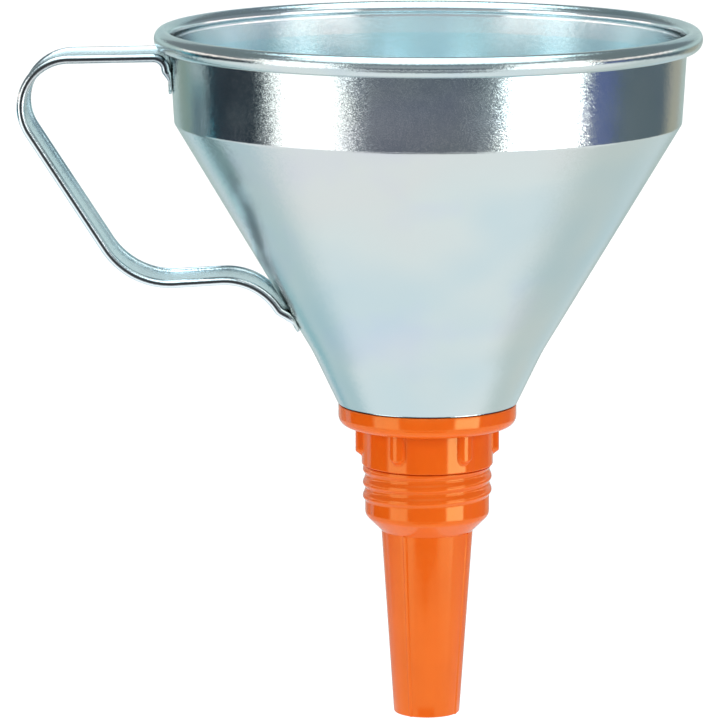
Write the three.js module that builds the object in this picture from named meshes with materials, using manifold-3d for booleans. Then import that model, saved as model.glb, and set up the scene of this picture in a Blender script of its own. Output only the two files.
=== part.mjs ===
// A funnel for fuel and other fluids. A pressed sheet-steel bowl with a rolled rim carries a welded
// strip handle. A moulded spout with a threaded outside screws onto a clamp ring, which holds the
// bowl's inward lip against a seal. A removable strainer lies in the bottom of the bowl.
// Millimetres, +Z up. The origin is on the axis, where the spout's shoulder sits in a filler neck.
// The handle points to -X.

import * as THREE from 'three';
import { mergeVertices } from 'three/addons/utils/BufferGeometryUtils.js';
import Module from 'manifold-3d';

const wasm = await Module();
wasm.setup();

// ---- driving dimensions ----

const AROUND_BOWL = 56; // facets round the bowl
const AROUND_SPOUT = 40; // facets round the spout and the rings
const GAP = 0.3; // play between pieces that touch

const SHEET = 0.8; // thickness of the bowl's steel
const RIM_Z = 180; // centre of the rolled rim
const RIM_RADIUS = 100; // outside of the rolled rim
const ROLL_RADIUS = 3.5; // outside of the roll's section
const ROLL_STEP = 30; // degrees between the roll's facets
const BAND_TOP_RADIUS = 94.5;
const BAND_BOTTOM_RADIUS = 92.8;
const BAND_BOTTOM_Z = 149.3; // where the band bends into the cone
const CONE_SLOPE = 0.594; // radius gained per unit of height
const THROAT_Z = 64.5; // where the cone turns steeper
const THROAT_SLOPE = 0.478;
const LIP_Z = 45.1; // underside of the bowl's inward lip
const LIP_INNER_RADIUS = 23.2;

const STRIP_THICKNESS = 1;
const BEAD_RADIUS = 1.6; // rolled long edges of the handle strip
const BEAD_Y = 13.4; // centre of each rolled edge
const TAB_WIDTH = 25;
const TAB_CORNER = 5;
const UPPER_TAB_Z = [160, 172];
const LOWER_TAB_Z = [72.5, 90];

const COLLAR_TOP_Z = 44.6;
const COLLAR_RADIUS = 32.9;
const COLLAR_SIDE_Z = 42; // where the collar's side starts to round under
const COLLAR_ROUND = 6;
const BODY_RADIUS = 24.3;
const BODY_END_Z = 22.3;
const SOCKET_RADIUS = 22.4; // bore that takes the clamp ring
const SOCKET_FLOOR_Z = 33.2;
const BORE_RADIUS = 20.3;
const WALL = 1.6;

const LUG_COUNT = 6;
const LUG_AZIMUTH = -116.3; // degrees from +X of the first lug
const LUG_RADIUS = 26.6;
const LUG_WIDTH = 6.4;
const LUG_BOTTOM_Z = 24.8;

const THREAD_ROOT = 22.8;
const THREAD_CREST = 23.9;
const THREAD_PITCH = 5;
const THREAD_CREST_WIDTH = 1.9;
const THREAD_BASE_WIDTH = 4.6;
const THREAD_START = { azimuth: 90, z: 8.4 }; // lower end, at the back
const THREAD_TURNS = 2.8;

const SHOULDER_TOP_Z = 2.2;
const SHOULDER_ROUND = 2.4;
const TUBE_TOP = { radius: 16.95, z: -3.1 };
const TUBE_END = { radius: 12.2, z: -72.2 };
const TIP_EDGE = 0.4;
const RIB_COUNT = 4;
const RIB_AZIMUTH = -119; // degrees from +X of the first rib
const RIB_WIDTH = 1.4;
const RIB_HEIGHT = 0.35;

const SEAL_RADII = [28.3, 31.2];
const SEAL_THICKNESS = 1.1;

const CLAMP_BORE = 19.4;
const CLAMP_FLANGE_RADIUS = 31.4;
const CLAMP_FLANGE = 1.6;
const CLAMP_DEPTH = 11.2; // skirt below the flange
const CLAMP_NOTCHES = 4;
const CLAMP_NOTCH = { width: 6, depth: 2.4 };

const STRAINER_RADIUS = 33.2;
const STRAINER_RING = 3; // width and height of the ring's section
const GAUZE_RADIUS = 31.7;
const GAUZE_THICKNESS = 0.4;
const LOOP_WIRE = 0.8; // radius of the lifting loop's wire
const LOOP_HALF_WIDTH = 7;
const LOOP_LEG = 5.5;
const LOOP_FOOT = 4;

// ---- helpers ----

const rad = THREE.MathUtils.degToRad;

// Turns a closed geometry into a solid: corners are merged and collapsed triangles dropped.
function solidOf(geometry) {
  geometry.deleteAttribute('normal');
  geometry.deleteAttribute('uv');
  const merged = mergeVertices(geometry, 1e-4);
  const index = merged.index.array;
  const kept = [];
  for (let i = 0; i < index.length; i += 3) {
    const [a, b, c] = index.slice(i, i + 3);
    if (a !== b && b !== c && c !== a) kept.push(a, b, c);
  }
  return new wasm.Manifold(new wasm.Mesh({
    numProp: 3,
    vertProperties: new Float32Array(merged.attributes.position.array),
    triVerts: new Uint32Array(kept),
  }));
}

function geometryOf(solid) {
  const mesh = solid.getMesh();
  const geometry = new THREE.BufferGeometry();
  geometry.setAttribute('position', new THREE.BufferAttribute(mesh.vertProperties, 3));
  geometry.setIndex(new THREE.BufferAttribute(mesh.triVerts, 1));
  geometry.computeVertexNormals();
  return geometry;
}

// Revolves a closed outline of [radius, height] pairs, listed anticlockwise, about Z.
function revolve(outline, around) {
  const points = outline.map(([r, z]) => new THREE.Vector2(r, z));
  points.push(points[0].clone());
  const geometry = new THREE.LatheGeometry(points, around);
  geometry.rotateX(Math.PI / 2);
  return geometry;
}

function arc(radius, z, size, from, to, steps) {
  const points = [];
  for (let i = 0; i <= steps; i += 1) {
    const angle = rad(from + (to - from) * i / steps);
    points.push([radius + size * Math.cos(angle), z + size * Math.sin(angle)]);
  }
  return points;
}

// Rounds the corner between three [radius, height] points, cutting back by the given length.
function rounded(before, corner, after, cut, steps) {
  const [a, b, c] = [before, corner, after].map(([r, z]) => new THREE.Vector2(r, z));
  const start = b.clone().add(a.clone().sub(b).setLength(cut));
  const end = b.clone().add(c.clone().sub(b).setLength(cut));
  const curve = new THREE.QuadraticBezierCurve(start, b, end);
  return curve.getPoints(steps).map((p) => [p.x, p.y]);
}

// Closes a line of [radius, height] points into a sheet of the given thickness on its right.
function sheetOutline(line, thickness) {
  const points = line.map(([r, z]) => new THREE.Vector2(r, z));
  const offset = points.map((p, i) => {
    const before = points[Math.max(i - 1, 0)];
    const after = points[Math.min(i + 1, points.length - 1)];
    const inward = i === 0 || i === points.length - 1 ? after.clone().sub(before).normalize()
      : p.clone().sub(before).normalize().add(after.clone().sub(p).normalize()).normalize();
    const leg = i === 0 ? after.clone().sub(p) : p.clone().sub(before);
    const spread = 1 / Math.max(inward.dot(leg.normalize()), 0.5);
    return [p.x + inward.y * thickness * spread, p.y - inward.x * thickness * spread];
  });
  return [...offset, ...line.toReversed()];
}

// A path that carries a section without twisting it: across gives the section's y direction.
class Rail extends THREE.Curve {
  constructor(point, across) {
    super();
    this.point = point;
    this.across = across;
  }

  getPoint(t) {
    return this.point(t);
  }

  computeFrenetFrames(steps) {
    const tangents = [];
    const normals = [];
    const binormals = [];
    for (let i = 0; i <= steps; i += 1) {
      const tangent = this.getTangentAt(i / steps);
      const binormal = this.across(this.getPointAt(i / steps), tangent);
      tangents.push(tangent);
      binormals.push(binormal);
      normals.push(binormal.clone().cross(tangent).normalize());
    }
    return { tangents, normals, binormals };
  }
}

// A rail along a flat path whose x is the model's X and whose y is its Z.
function flatRail(path) {
  return new Rail(
    (t) => {
      const p = path.getPoint(t);
      return new THREE.Vector3(p.x, 0, p.y);
    },
    () => new THREE.Vector3(0, 1, 0),
  );
}

function sweep(section, rail, steps) {
  return new THREE.ExtrudeGeometry(section, { extrudePath: rail, steps });
}

function circle(radius, sides) {
  const shape = new THREE.Shape();
  for (let i = 0; i < sides; i += 1) {
    const angle = 2 * Math.PI * (i + 0.5) / sides;
    const [x, y] = [radius * Math.cos(angle), radius * Math.sin(angle)];
    if (i === 0) shape.moveTo(x, y);
    else shape.lineTo(x, y);
  }
  return shape;
}

// ---- bowl ----

const bandRadius = (z) => BAND_BOTTOM_RADIUS
  + (BAND_TOP_RADIUS - BAND_BOTTOM_RADIUS) * (z - BAND_BOTTOM_Z) / (RIM_Z - BAND_BOTTOM_Z);
const coneRadius = (z) => BAND_BOTTOM_RADIUS - CONE_SLOPE * (BAND_BOTTOM_Z - z);
const throatRadius = (z) => coneRadius(THROAT_Z) - THROAT_SLOPE * (THROAT_Z - z);

// The outside of the bowl below its rim, from the lip up to the top of the band.
function bowlOutside() {
  const lipCorner = [throatRadius(LIP_Z), LIP_Z];
  const throat = [coneRadius(THROAT_Z), THROAT_Z];
  const bend = [BAND_BOTTOM_RADIUS, BAND_BOTTOM_Z];
  const bandTopZ = RIM_Z - ROLL_RADIUS - GAP;
  const bandTop = [bandRadius(bandTopZ), bandTopZ];
  return [
    [LIP_INNER_RADIUS, LIP_Z],
    ...rounded([LIP_INNER_RADIUS, LIP_Z], lipCorner, throat, 1.3, 2),
    ...rounded(lipCorner, throat, bend, 5, 2),
    ...rounded(throat, bend, bandTop, 1.4, 2),
    bandTop,
  ];
}

// The sheet is drawn from its inside, which becomes the outside of the rolled rim.
function makeBowl() {
  const inside = sheetOutline(bowlOutside().toReversed(), SHEET).slice(0, bowlOutside().length);
  const facetRadius = ROLL_RADIUS / Math.cos(rad(ROLL_STEP / 2));
  const rollRadius = RIM_RADIUS - ROLL_RADIUS;
  const roll = arc(rollRadius, RIM_Z, facetRadius, 195, -105, 300 / ROLL_STEP);
  const line = [...inside.toReversed(), ...roll];
  return revolve(sheetOutline(line, SHEET), AROUND_BOWL);
}

// ---- handle ----

// Middle of the handle strip in the XZ plane, from the band round to the cone.
function handlePath() {
  const path = new THREE.Path();
  path.moveTo(-95.1, 168.5);
  path.absarc(-99.6, 169.2, 4.5, 0, Math.PI / 2, false);
  path.lineTo(-130.3, 173.1);
  path.absarc(-130.3, 155.5, 17.6, rad(91.2), rad(213), false);
  path.lineTo(-117.7, 103.6);
  path.absarc(-94.2, 118.85, 28, rad(213), rad(274.1), false);
  path.lineTo(-75.7, 91.95);
  path.absarc(-74.05, 69, 23, rad(94.1), rad(30.7), true);
  path.lineTo(-50.9, 75.8);
  return path;
}

// Flat strip with both long edges rolled into round beads.
function stripSection() {
  const half = STRIP_THICKNESS / 2;
  const reach = Math.asin(half / BEAD_RADIUS);
  const shape = new THREE.Shape();
  const sides = 9;
  for (const side of [1, -1]) {
    for (let i = 0; i <= sides; i += 1) {
      const angle = reach + (2 * Math.PI - 2 * reach) * i / sides;
      const x = side * BEAD_RADIUS * Math.sin(angle);
      const y = side * (BEAD_Y - BEAD_RADIUS * Math.cos(angle));
      if (side === 1 && i === 0) shape.moveTo(x, y);
      else shape.lineTo(x, y);
    }
  }
  return shape;
}

// A plate with rounded lower corners, long in X, that trims a revolved band to a tab.
function tabOutline([low, high]) {
  const half = TAB_WIDTH / 2;
  const shape = new THREE.Shape();
  shape.moveTo(-half, high);
  shape.lineTo(-half, low + TAB_CORNER);
  shape.absarc(-half + TAB_CORNER, low + TAB_CORNER, TAB_CORNER, Math.PI, 1.5 * Math.PI, false);
  shape.absarc(half - TAB_CORNER, low + TAB_CORNER, TAB_CORNER, 1.5 * Math.PI, 2 * Math.PI, false);
  shape.lineTo(half, high);
  const geometry = new THREE.ExtrudeGeometry(shape, { depth: 120, bevelEnabled: false, curveSegments: 3 });
  geometry.rotateX(Math.PI / 2);
  geometry.rotateZ(-Math.PI / 2);
  return geometry;
}

// A tab that lies on the bowl, between two heights.
function makeTab(heights, radiusAt) {
  const [low, high] = heights;
  const outline = [
    [radiusAt(low) + GAP, low - 1],
    [radiusAt(low) + GAP + STRIP_THICKNESS, low - 1],
    [radiusAt(high) + GAP + STRIP_THICKNESS, high],
    [radiusAt(high) + GAP, high],
  ];
  return solidOf(revolve(outline, AROUND_BOWL)).intersect(solidOf(tabOutline(heights)));
}

// The bowl's outside with room for play, as one filled solid.
function bowlClearance() {
  const grown = sheetOutline(bowlOutside(), GAP).slice(0, bowlOutside().length);
  const outline = [[0, LIP_Z], ...grown.slice(1), [0, RIM_Z - ROLL_RADIUS]];
  return solidOf(revolve(outline, AROUND_BOWL));
}

function makeHandle() {
  const strip = solidOf(sweep(stripSection(), flatRail(handlePath()), 48));
  const slope = (z) => coneRadius(z) + (1 / Math.cos(Math.atan(CONE_SLOPE)) - 1) * GAP;
  return geometryOf(strip
    .add(makeTab(UPPER_TAB_Z, bandRadius))
    .add(makeTab(LOWER_TAB_Z, slope))
    .subtract(bowlClearance()));
}

// ---- spout ----

function spoutOutline() {
  const shoulderFoot = [TUBE_TOP.radius + 0.2, TUBE_TOP.z + 0.1];
  const sealFloor = COLLAR_TOP_Z - SEAL_THICKNESS - GAP / 2;
  const shoulderRun = THREAD_ROOT - shoulderFoot[0];
  const shoulderCorner = [THREAD_ROOT, shoulderFoot[1] + shoulderRun];
  return [
    [TUBE_END.radius - WALL, TUBE_END.z],
    [TUBE_END.radius - TIP_EDGE, TUBE_END.z],
    [TUBE_END.radius, TUBE_END.z + TIP_EDGE],
    [TUBE_TOP.radius, TUBE_TOP.z],
    shoulderFoot,
    ...rounded(shoulderFoot, shoulderCorner, [THREAD_ROOT, BODY_END_Z], SHOULDER_ROUND, 3),
    [THREAD_ROOT, BODY_END_Z - 0.8],
    [BODY_RADIUS, BODY_END_Z],
    [BODY_RADIUS, COLLAR_SIDE_Z - COLLAR_ROUND - 0.2],
    ...arc(COLLAR_RADIUS - COLLAR_ROUND, COLLAR_SIDE_Z, COLLAR_ROUND, -90, 0, 4),
    [COLLAR_RADIUS, COLLAR_TOP_Z],
    [SEAL_RADII[1] + GAP, COLLAR_TOP_Z],
    [SEAL_RADII[1] + GAP, sealFloor],
    [SEAL_RADII[0] - GAP, sealFloor],
    [SEAL_RADII[0] - GAP, COLLAR_TOP_Z],
    [SOCKET_RADIUS, COLLAR_TOP_Z],
    [SOCKET_RADIUS, SOCKET_FLOOR_Z],
    [BORE_RADIUS, SOCKET_FLOOR_Z],
    [BORE_RADIUS, SHOULDER_TOP_Z + 1],
    [TUBE_TOP.radius - WALL, TUBE_TOP.z],
  ];
}

// One turning grip under the collar: upright with a round foot.
function makeLug(azimuth) {
  const half = LUG_WIDTH / 2;
  const shape = new THREE.Shape();
  shape.moveTo(half, COLLAR_SIDE_Z - COLLAR_ROUND + 1);
  shape.lineTo(-half, COLLAR_SIDE_Z - COLLAR_ROUND + 1);
  shape.lineTo(-half, LUG_BOTTOM_Z + half);
  shape.absarc(0, LUG_BOTTOM_Z + half, half, Math.PI, 2 * Math.PI, false);
  const depth = LUG_RADIUS - BODY_RADIUS + 0.6;
  const geometry = new THREE.ExtrudeGeometry(shape, { depth, bevelEnabled: false, curveSegments: 6 });
  geometry.translate(0, 0, LUG_RADIUS - depth);
  geometry.rotateX(Math.PI / 2);
  geometry.rotateZ(rad(azimuth) + Math.PI / 2);
  return solidOf(geometry);
}

// A shallow rib down the tube, tilted with its taper.
function makeRib(azimuth) {
  const run = TUBE_TOP.z - TUBE_END.z;
  const taper = Math.atan((TUBE_TOP.radius - TUBE_END.radius) / run);
  const length = run - 1;
  const depth = 1;
  const geometry = new THREE.BoxGeometry(depth, RIB_WIDTH, length);
  const middle = (TUBE_TOP.radius + TUBE_END.radius) / 2;
  geometry.rotateY(taper);
  geometry.translate(middle + RIB_HEIGHT - depth / 2, 0, (TUBE_TOP.z + TUBE_END.z) / 2);
  geometry.rotateZ(rad(azimuth));
  return solidOf(geometry);
}

// The ridge of the outer thread, a right-hand helix.
function makeThread() {
  const height = THREAD_CREST - THREAD_ROOT;
  const root = 0.4; // how far the ridge is sunk into the wall
  const shape = new THREE.Shape();
  shape.moveTo(-root, -THREAD_BASE_WIDTH / 2);
  shape.lineTo(0, -THREAD_BASE_WIDTH / 2);
  shape.lineTo(height, -THREAD_CREST_WIDTH / 2);
  shape.lineTo(height, THREAD_CREST_WIDTH / 2);
  shape.lineTo(0, THREAD_BASE_WIDTH / 2);
  shape.lineTo(-root, THREAD_BASE_WIDTH / 2);
  const helix = new Rail(
    (t) => {
      const angle = rad(THREAD_START.azimuth) + 2 * Math.PI * THREAD_TURNS * t;
      const z = THREAD_START.z + THREAD_PITCH * THREAD_TURNS * t;
      return new THREE.Vector3(THREAD_ROOT * Math.cos(angle), THREAD_ROOT * Math.sin(angle), z);
    },
    (point, tangent) => tangent.clone().cross(new THREE.Vector3(point.x, point.y, 0)).normalize(),
  );
  return solidOf(sweep(shape, helix, Math.round(24 * THREAD_TURNS)));
}

function makeSpout() {
  let spout = solidOf(revolve(spoutOutline(), AROUND_SPOUT));
  for (let i = 0; i < LUG_COUNT; i += 1) {
    spout = spout.add(makeLug(LUG_AZIMUTH + 360 * i / LUG_COUNT));
  }
  for (let i = 0; i < RIB_COUNT; i += 1) {
    spout = spout.add(makeRib(RIB_AZIMUTH + 360 * i / RIB_COUNT));
  }
  return geometryOf(spout.add(makeThread()));
}

// ---- rings inside the bowl ----

function makeSeal() {
  const [inner, outer] = SEAL_RADII;
  const top = LIP_Z - GAP;
  const bottom = top - SEAL_THICKNESS;
  return revolve([[inner, bottom], [outer, bottom], [outer, top], [inner, top]], AROUND_SPOUT);
}

function makeClampRing() {
  const flangeZ = LIP_Z + SHEET + GAP;
  const top = flangeZ + CLAMP_FLANGE;
  const bottom = flangeZ - CLAMP_DEPTH;
  const skirt = SOCKET_RADIUS - 0.5;
  let ring = solidOf(revolve([
    [CLAMP_BORE, bottom],
    [skirt, bottom],
    [skirt, flangeZ],
    [CLAMP_FLANGE_RADIUS, flangeZ],
    [CLAMP_FLANGE_RADIUS, top - 0.4],
    [CLAMP_FLANGE_RADIUS - 0.4, top],
    [CLAMP_BORE, top],
  ], AROUND_SPOUT));
  for (let i = 0; i < CLAMP_NOTCHES; i += 1) {
    const reach = CLAMP_NOTCH.depth + 2;
    const notch = new THREE.BoxGeometry(reach, CLAMP_NOTCH.width, 6);
    notch.translate(CLAMP_BORE + CLAMP_NOTCH.depth - reach / 2, 0, flangeZ + 3);
    notch.rotateZ(rad(45 + 360 * i / CLAMP_NOTCHES));
    ring = ring.subtract(solidOf(notch));
  }
  return geometryOf(ring);
}

const strainerZ = LIP_Z + SHEET + 2 * GAP + CLAMP_FLANGE;
const gauzeZ = strainerZ + (STRAINER_RING - GAUZE_THICKNESS) / 2;

function makeStrainerRing() {
  const inner = STRAINER_RADIUS - STRAINER_RING;
  const slotFloor = GAUZE_RADIUS + GAP;
  const [slotLow, slotHigh] = [gauzeZ - GAP, gauzeZ + GAUZE_THICKNESS + GAP];
  return revolve([
    [inner, strainerZ],
    [STRAINER_RADIUS, strainerZ],
    [STRAINER_RADIUS, strainerZ + STRAINER_RING],
    [inner, strainerZ + STRAINER_RING],
    [inner, slotHigh],
    [slotFloor, slotHigh],
    [slotFloor, slotLow],
    [inner, slotLow],
  ], AROUND_SPOUT);
}

function makeGauze() {
  const gauze = new THREE.CylinderGeometry(GAUZE_RADIUS, GAUZE_RADIUS, GAUZE_THICKNESS, AROUND_SPOUT);
  gauze.rotateX(Math.PI / 2);
  gauze.translate(0, 0, gauzeZ + GAUZE_THICKNESS / 2);
  return gauze;
}

// A wire arch with both feet bent outwards onto the gauze.
function makeLoop() {
  const footZ = gauzeZ + GAUZE_THICKNESS + GAP + LOOP_WIRE;
  const bend = 1.6;
  const top = footZ + bend + LOOP_LEG;
  const half = LOOP_HALF_WIDTH;
  const path = new THREE.Path();
  path.moveTo(-half - bend - LOOP_FOOT, footZ);
  path.absarc(-half - bend, footZ + bend, bend, -Math.PI / 2, 0, false);
  path.absarc(0, top, half, Math.PI, 0, true);
  path.absarc(half + bend, footZ + bend, bend, Math.PI, 1.5 * Math.PI, false);
  path.lineTo(half + bend + LOOP_FOOT, footZ);
  return sweep(circle(LOOP_WIRE, 8), flatRail(path), 36);
}

// ---- materials and assembly ----

const steel = { color: 0xbfcdd0, roughness: 0.28, metalness: 1 };
const orange = { color: 0xeb611a, roughness: 0.25, metalness: 0 };
const rubber = { color: 0x1c1c1c, roughness: 0.8, metalness: 0 };
const brass = { color: 0xb98b3c, roughness: 0.4, metalness: 1 };
const wire = { color: 0xc9cbc8, roughness: 0.3, metalness: 1 };

function addPiece(group, name, geometry, look) {
  const mesh = new THREE.Mesh(geometry, new THREE.MeshStandardMaterial(look));
  mesh.name = name;
  group.add(mesh);
}

const funnel = new THREE.Group();

const vessel = new THREE.Group();
addPiece(vessel, 'bowl', makeBowl(), steel);
addPiece(vessel, 'handle', makeHandle(), steel);
addPiece(vessel, 'clamp_ring', makeClampRing(), orange);
funnel.add(vessel);

const outlet = new THREE.Group();
addPiece(outlet, 'spout', makeSpout(), orange);
addPiece(outlet, 'seal_ring', makeSeal(), rubber);
funnel.add(outlet);

const strainer = new THREE.Group();
addPiece(strainer, 'strainer_ring', makeStrainerRing(), steel);
addPiece(strainer, 'strainer_gauze', makeGauze(), brass);
addPiece(strainer, 'strainer_loop', makeLoop(), wire);
funnel.add(strainer);

export default funnel;
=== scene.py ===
import math

import bpy
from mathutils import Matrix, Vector


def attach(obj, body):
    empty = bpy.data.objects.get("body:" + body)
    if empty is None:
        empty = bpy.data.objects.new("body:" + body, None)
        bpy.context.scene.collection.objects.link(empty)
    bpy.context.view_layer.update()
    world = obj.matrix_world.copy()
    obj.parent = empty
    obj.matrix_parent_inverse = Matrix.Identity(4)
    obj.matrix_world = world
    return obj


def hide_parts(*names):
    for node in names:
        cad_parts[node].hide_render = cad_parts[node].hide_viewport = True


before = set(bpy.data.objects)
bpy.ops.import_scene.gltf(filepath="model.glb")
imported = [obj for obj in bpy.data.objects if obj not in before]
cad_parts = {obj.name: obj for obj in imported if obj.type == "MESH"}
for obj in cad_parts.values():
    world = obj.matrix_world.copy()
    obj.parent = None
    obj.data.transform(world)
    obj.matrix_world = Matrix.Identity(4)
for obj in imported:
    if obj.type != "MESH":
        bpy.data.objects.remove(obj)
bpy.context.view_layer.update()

MM = 0.001

# ---- sizes of the funnel, in millimetres, from the seat in the filler neck ----

SHEET = 0.8
RIM_Z, RIM_RADIUS, ROLL_HALF_HEIGHT, ROLL_HALF_WIDTH = 179.8, 100.0, 3.7, 3.15
BAND_TOP_RADIUS, BAND_BOTTOM_RADIUS, BAND_BOTTOM_Z = 94.5, 92.8, 149.3
CONE_SLOPE, THROAT_Z, THROAT_SLOPE = 0.594, 64.5, 0.478
LIP_Z, LIP_INNER_RADIUS = 44.8, 23.2
BAND_ROUND, THROAT_ROUND, LIP_ROUND = 2.2, 75.0, 0.8
STRIP_Z = 171.5  # lower edge of the strip inside the band where brighter light is painted

STRIP_THICKNESS, BEAD_RADIUS, BEAD_Y = 1.0, 1.6, 13.4
UPPER_TAB_END, LOWER_TAB_END, TAB_CORNER = 160.0, 72.5, 5.0
UPPER_WELDS = [(-5.5, 4.2), (5.5, 4.2)]  # (y, height above the tab's end)
LOWER_WELDS = [(-5.5, 4.0), (5.5, 4.0), (0.0, 9.0)]

COLLAR_TOP_Z, COLLAR_RADIUS, COLLAR_SIDE_Z, COLLAR_ROUND = 44.5, 32.9, 40.2, 3.7
BODY_RADIUS, BODY_END_Z = 24.3, 22.3
SOCKET_RADIUS, SOCKET_FLOOR_Z, BORE_RADIUS, WALL = 22.4, 33.2, 20.3, 1.6
SHOULDER_ROUND, SHOULDER_INSIDE_Z = 3.6, 3.2
LUG_COUNT, LUG_AZIMUTH, LUG_RADIUS, LUG_WIDTH, LUG_BOTTOM_Z = 6, -116.3, 26.6, 6.4, 24.6
THREAD_ROOT, THREAD_CREST, THREAD_PITCH, THREAD_UNDERCUT = 23.0, 23.9, 5.0, 1.8
THREAD_AZIMUTH, THREAD_Z, THREAD_TURNS = 90.0, 8.4, 2.8
TUBE_TOP, TUBE_END = (16.95, -3.1), (12.2, -72.2)
RIB_COUNT, RIB_AZIMUTH, RIB_WIDTH, RIB_HEIGHT = 4, -119.0, 1.4, 0.35

PLAY = 0.3  # gap left between pieces that lie against each other
SEAL_INNER, SEAL_OUTER, SEAL_THICKNESS = 28.3, 31.2, 1.1
FLANGE_Z = LIP_Z + SHEET + PLAY
CLAMP_BORE, CLAMP_FLANGE_RADIUS, CLAMP_FLANGE, CLAMP_DEPTH = 19.4, 31.4, 1.6, 11.2
CLAMP_THREAD, CLAMP_PITCH = 0.5, 2.5
NOTCH_COUNT, NOTCH_AZIMUTH, NOTCH_WIDTH, NOTCH_DEPTH = 4, 45.0, 6.0, 2.4
STRAINER_Z = FLANGE_Z + CLAMP_FLANGE + PLAY
STRAINER_RADIUS, STRAINER_RING = 33.2, 3.0
GAUZE_Z = STRAINER_Z + STRAINER_RING / 2
GAUZE_RADIUS, GAUZE_PITCH, GAUZE_WIRE = 31.6, 1.0, 0.17
LOOP_WIRE, LOOP_HALF_WIDTH, LOOP_LEG, LOOP_FOOT = 0.8, 7.0, 5.5, 4.0


# ---- lines and curves ----

def smooth(low, high, value):
    """0 below low, 1 above high, and a smooth step between them; low may be above high."""
    t = min(max((value - low) / (high - low), 0.0), 1.0)
    return t * t * (3 - 2 * t)


def band_radius(z):
    """Radius of the sheet's outside at a height, on the straight band."""
    widening = (BAND_TOP_RADIUS - BAND_BOTTOM_RADIUS) / (RIM_Z - BAND_BOTTOM_Z)
    return BAND_BOTTOM_RADIUS + widening * (z - BAND_BOTTOM_Z)


def cone_radius(z):
    return BAND_BOTTOM_RADIUS - CONE_SLOPE * (BAND_BOTTOM_Z - z)


def throat_radius(z):
    return cone_radius(THROAT_Z) - THROAT_SLOPE * (THROAT_Z - z)


def arc(r, z, size, start, end, steps):
    """Points on an arc in the (radius, height) plane, angles in degrees."""
    angles = [math.radians(start + (end - start) * i / steps) for i in range(steps + 1)]
    return [(r + size * math.cos(a), z + size * math.sin(a)) for a in angles]


def fillet(before, corner, after, radius, steps=6):
    """The corner between three points, rounded to a radius by an arc."""
    b = Vector(corner)
    u, v = (Vector(before) - b).normalized(), (Vector(after) - b).normalized()
    half = u.angle(v) / 2
    centre = b + (u + v).normalized() * (radius / math.sin(half))
    cut = radius / math.tan(half)
    start, end = b + u * cut - centre, b + v * cut - centre
    turn = start.angle(end)
    points = []
    for i in range(steps + 1):
        t = i / steps
        p = (start * math.sin((1 - t) * turn) + end * math.sin(t * turn)) / math.sin(turn)
        points.append(tuple(centre + p))
    return points


def outline(corners):
    """A closed outline from (r, z, radius) corners, each rounded to its own radius."""
    points = []
    for i, (r, z, radius) in enumerate(corners):
        before, after = corners[i - 1], corners[(i + 1) % len(corners)]
        if radius:
            points += fillet(before[:2], (r, z), after[:2], radius)
        else:
            points.append((r, z))
    return points


def split(points, longest, closed=True):
    """The same line with more points, so that no step is longer than longest."""
    out = []
    pairs = zip(points, points[1:] + points[:1] if closed else points[1:])
    for (r0, z0), (r1, z1) in pairs:
        steps = max(1, math.ceil(math.dist((r0, z0), (r1, z1)) / longest))
        out += [(r0 + (r1 - r0) * i / steps, z0 + (z1 - z0) * i / steps) for i in range(steps)]
    return out if closed else out + [points[-1]]


def guarded(points, gap, longest):
    """A closed line with a point close to each end of its long runs, which keeps their shading flat."""
    out = []
    for a, b in zip(points, points[1:] + points[:1]):
        out.append(a)
        share = gap / max(math.dist(a, b), 1e-6)
        if math.dist(a, b) > longest:
            out += [(a[0] + (b[0] - a[0]) * t, a[1] + (b[1] - a[1]) * t) for t in (share, 1 - share)]
    return out


def direction(points, i):
    """Which way an open line runs at its point i."""
    a, b = points[max(i - 1, 0)], points[min(i + 1, len(points) - 1)]
    return (Vector(b) - Vector(a)).normalized()


def offset(points, distance):
    """A line moved sideways, to its right, by a distance."""
    moved = []
    for i, p in enumerate(points):
        run = direction(points, i)
        moved.append((p[0] + run.y * distance, p[1] - run.x * distance))
    return moved


def from_nearest(angle, count, azimuth):
    """Radians from the nearest of count features to an angle; they start at azimuth degrees and
    are spread evenly round."""
    step = 360 / count
    return math.radians((math.degrees(angle) - azimuth + step / 2) % step - step / 2)


# ---- mesh building ----

def add_object(name, verts, faces, crease=32.0):
    """A smooth-shaded object from millimetre points, with edges sharper than crease kept sharp."""
    mesh = bpy.data.meshes.new(name)
    mesh.from_pydata([(x * MM, y * MM, z * MM) for x, y, z in verts], [], faces)
    mesh.validate()
    mesh.polygons.foreach_set("use_smooth", [True] * len(mesh.polygons))
    mesh.set_sharp_from_angle(angle=math.radians(crease))
    obj = bpy.data.objects.new(name, mesh)
    bpy.context.scene.collection.objects.link(obj)
    return obj


def even_angles(count):
    return [2 * math.pi * j / count for j in range(count)]


def detail_zones(count, azimuth, half, step):
    """Zones for angles_with_detail, one round each of count features spread evenly from azimuth."""
    return [((azimuth + 360 * i / count) % 360, half, step) for i in range(count)]


def angles_with_detail(coarse, zones):
    """Angles round the axis: every coarse degrees, and closer in (centre, half width, step) zones."""
    marks = {round(i * coarse, 3) for i in range(round(360 / coarse))}
    for centre, half, step in zones:
        marks = {m for m in marks if abs((m - centre + 180) % 360 - 180) > half + step / 2}
        count = round(2 * half / step)
        marks |= {round((centre - half + i * step) % 360, 3) for i in range(count + 1)}
    return [math.radians(m) for m in sorted(marks)]


def ring_faces(rows, columns, closed=False, start=0):
    """Quads between rings of points; closed also joins the last ring to the first."""
    faces = []
    for i in range(rows if closed else rows - 1):
        a, b = start + i * columns, start + (i + 1) % rows * columns
        for j in range(columns):
            k = (j + 1) % columns
            faces.append((a + j, a + k, b + k, b + j))
    return faces


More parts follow.
